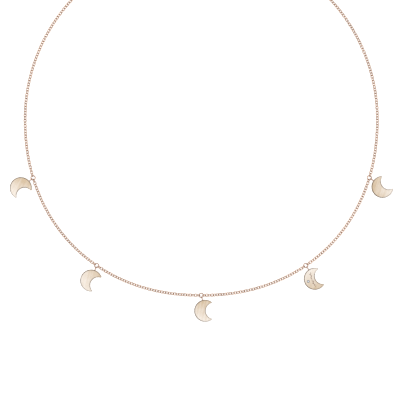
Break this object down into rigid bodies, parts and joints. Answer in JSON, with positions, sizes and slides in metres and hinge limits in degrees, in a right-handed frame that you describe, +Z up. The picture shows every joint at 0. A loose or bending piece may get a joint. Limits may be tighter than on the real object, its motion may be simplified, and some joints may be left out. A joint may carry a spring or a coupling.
{
  "type": "pendant necklace",
  "caption": "Fine cable-chain necklace with flat crescent-moon charms on jump rings and a lobster clasp, laid out flat with the clasp undone.",
  "frame": {"origin": "on the table, at the centre of the round upper half of the laid-out chain, where the neck goes", "axes": "+Z up from the table and through the loop; -Y towards the centre charm, +Y towards the clasp; +X to the right seen from above"},
  "size_m": [0.14, 0.1401, 0.0019],
  "materials": {
    "chain_gold": "polished rose gold",
    "ring_gold": "polished rose gold",
    "moon_gold": "satin-brushed pale gold with bright edges",
    "clasp_gold": "polished rose gold",
    "spring_steel": "drawn wire",
    "stone": "clear, facetted"
  },
  "bodies": {
    "centre_ring": {"jump_ring_centre": "ring_gold"},
    "charm_left_outer": {"moon_left_outer": "moon_gold", "moon_loop_left_outer": "ring_gold"},
    "charm_left_inner": {"moon_left_inner": "moon_gold", "moon_loop_left_inner": "ring_gold"},
    "charm_centre": {"moon_centre": "moon_gold", "moon_loop_centre": "ring_gold"},
    "charm_right_inner": {"moon_right_inner": "moon_gold", "moon_loop_right_inner": "ring_gold", "stone": "stone"},
    "charm_right_outer": {"moon_right_outer": "moon_gold", "moon_loop_right_outer": "ring_gold"},
    "ring_right_inner": {"jump_ring_right_inner": "ring_gold"},
    "ring_right_outer": {"jump_ring_right_outer": "ring_gold"},
    "run_right_1": {"chain_right_1": "chain_gold"},
    "run_right_2": {"chain_right_2": "chain_gold"},
    "run_right_3": {"chain_right_3": "chain_gold"},
    "run_right_4": {"chain_right_4": "chain_gold"},
    "run_right_5": {"chain_right_5": "chain_gold"},
    "run_right_6": {"chain_right_6": "chain_gold"},
    "run_right_7": {"chain_right_7": "chain_gold"},
    "ring_left_inner": {"jump_ring_left_inner": "ring_gold"},
    "ring_left_outer": {"jump_ring_left_outer": "ring_gold"},
    "run_left_1": {"chain_left_1": "chain_gold"},
    "run_left_2": {"chain_left_2": "chain_gold"},
    "run_left_3": {"chain_left_3": "chain_gold"},
    "run_left_4": {"chain_left_4": "chain_gold"},
    "run_left_5": {"chain_left_5": "chain_gold"},
    "run_left_6": {"chain_left_6": "chain_gold"},
    "run_left_7": {"chain_left_7": "chain_gold"},
    "end_ring": {"end_ring": "ring_gold"},
    "clasp_ring": {"clasp_ring": "ring_gold"},
    "clasp": {"clasp_body": "clasp_gold", "clasp_rivet": "clasp_gold", "clasp_spring": "spring_steel"},
    "clasp_gate": {"clasp_gate": "clasp_gold"}
  },
  "joints": [
    {"name": "charm_left_outer_swing", "type": "hinge", "parent": "ring_left_outer", "child": "charm_left_outer", "pos_m": [-0.06199, -0.0219, 0.00055], "axis": [-0.6428, 0.766, 0], "range_deg": [0, 120]},
    {"name": "charm_left_inner_swing", "type": "hinge", "parent": "ring_left_inner", "child": "charm_left_inner", "pos_m": [-0.03845, -0.05416, 0.00055], "axis": [-0.9397, 0.342, 0], "range_deg": [0, 120]},
    {"name": "charm_centre_swing", "type": "hinge", "parent": "centre_ring", "child": "charm_centre", "pos_m": [0.0002, -0.06507, 0.00055], "axis": [-0.9681, -0.2504, 0], "range_deg": [0, 120]},
    {"name": "charm_right_inner_swing", "type": "hinge", "parent": "ring_right_inner", "child": "charm_right_inner", "pos_m": [0.03863, -0.05407, 0.00055], "axis": [-0.829, -0.5592, 0], "range_deg": [0, 120]},
    {"name": "charm_right_outer_swing", "type": "hinge", "parent": "ring_right_outer", "child": "charm_right_outer", "pos_m": [0.06203, -0.02184, 0.00055], "axis": [-0.5693, -0.8221, 0], "range_deg": [0, 120]},
    {"name": "run_right_1_turn", "type": "hinge", "parent": "centre_ring", "child": "run_right_1", "pos_m": [0, -0.0643, 0.00055], "axis": [0, 0, -1], "range_deg": [0, 20]},
    {"name": "run_right_2_turn", "type": "hinge", "parent": "run_right_1", "child": "run_right_2", "pos_m": [0.01948, -0.06192, 0.00055], "axis": [0, 0, -1], "range_deg": [0, 22]},
    {"name": "ring_right_inner_turn", "type": "hinge", "parent": "run_right_2", "child": "ring_right_inner", "pos_m": [0.03818, -0.05341, 0.00055], "axis": [0, 0, -1], "range_deg": [0, 15]},
    {"name": "run_right_3_turn", "type": "hinge", "parent": "ring_right_inner", "child": "run_right_3", "pos_m": [0.03818, -0.05341, 0.00055], "axis": [0, 0, -1], "range_deg": [0, 30]},
    {"name": "run_right_4_turn", "type": "hinge", "parent": "run_right_3", "child": "run_right_4", "pos_m": [0.05227, -0.0398, 0.00055], "axis": [0, 0, -1], "range_deg": [0, 22]},
    {"name": "ring_right_outer_turn", "type": "hinge", "parent": "run_right_4", "child": "ring_right_outer", "pos_m": [0.06137, -0.02139, 0.00055], "axis": [0, 0, -1], "range_deg": [0, 15]},
    {"name": "run_right_5_turn", "type": "hinge", "parent": "ring_right_outer", "child": "run_right_5", "pos_m": [0.06137, -0.02139, 0.00055], "axis": [0, 0, -1], "range_deg": [0, 30]},
    {"name": "run_right_6_turn", "type": "hinge", "parent": "run_right_5", "child": "run_right_6", "pos_m": [0.06179, 0.0178, 0.00055], "axis": [0, 0, -1], "range_deg": [0, 20]},
    {"name": "run_right_7_turn", "type": "hinge", "parent": "run_right_6", "child": "run_right_7", "pos_m": [0.04057, 0.04989, 0.00055], "axis": [0, 0, -1], "range_deg": [-18, 18]},
    {"name": "run_left_1_turn", "type": "hinge", "parent": "centre_ring", "child": "run_left_1", "pos_m": [0, -0.0643, 0.00055], "axis": [0, 0, 1], "range_deg": [0, 20]},
    {"name": "run_left_2_turn", "type": "hinge", "parent": "run_left_1", "child": "run_left_2", "pos_m": [-0.01948, -0.06192, 0.00055], "axis": [0, 0, 1], "range_deg": [0, 22]},
    {"name": "ring_left_inner_turn", "type": "hinge", "parent": "run_left_2", "child": "ring_left_inner", "pos_m": [-0.03818, -0.05341, 0.00055], "axis": [0, 0, 1], "range_deg": [0, 15]},
    {"name": "run_left_3_turn", "type": "hinge", "parent": "ring_left_inner", "child": "run_left_3", "pos_m": [-0.03818, -0.05341, 0.00055], "axis": [0, 0, 1], "range_deg": [0, 30]},
    {"name": "run_left_4_turn", "type": "hinge", "parent": "run_left_3", "child": "run_left_4", "pos_m": [-0.05227, -0.0398, 0.00055], "axis": [0, 0, 1], "range_deg": [0, 22]},
    {"name": "ring_left_outer_turn", "type": "hinge", "parent": "run_left_4", "child": "ring_left_outer", "pos_m": [-0.06137, -0.02139, 0.00055], "axis": [0, 0, 1], "range_deg": [0, 15]},
    {"name": "run_left_5_turn", "type": "hinge", "parent": "ring_left_outer", "child": "run_left_5", "pos_m": [-0.06137, -0.02139, 0.00055], "axis": [0, 0, 1], "range_deg": [0, 30]},
    {"name": "run_left_6_turn", "type": "hinge", "parent": "run_left_5", "child": "run_left_6", "pos_m": [-0.06252, 0.01503, 0.00055], "axis": [0, 0, 1], "range_deg": [0, 20]},
    {"name": "run_left_7_turn", "type": "hinge", "parent": "run_left_6", "child": "run_left_7", "pos_m": [-0.04484, 0.04609, 0.00055], "axis": [0, 0, 1], "range_deg": [-18, 18]},
    {"name": "end_ring_turn", "type": "hinge", "parent": "run_right_7", "child": "end_ring", "pos_m": [0.00375, 0.06419, 0.00055], "axis": [0, 0, 1], "range_deg": [-40, 40]},
    {"name": "clasp_lift", "type": "hinge", "parent": "run_left_7", "child": "clasp_ring", "pos_m": [-0.01291, 0.06299, 0.00095], "axis": [0.2038, -0.979, 0], "range_deg": [0, 60]},
    {"name": "clasp_turn", "type": "hinge", "parent": "clasp_ring", "child": "clasp", "pos_m": [-0.01194, 0.06319, 0.0008], "axis": [0, 0, 1], "range_deg": [-40, 40]},
    {"name": "clasp_gate_open", "type": "hinge", "parent": "clasp", "child": "clasp_gate", "pos_m": [-0.00993, 0.06458, 0.0008], "axis": [0, 0, -1], "range_deg": [0, 25], "deforming": ["clasp_spring"]}
  ]
}
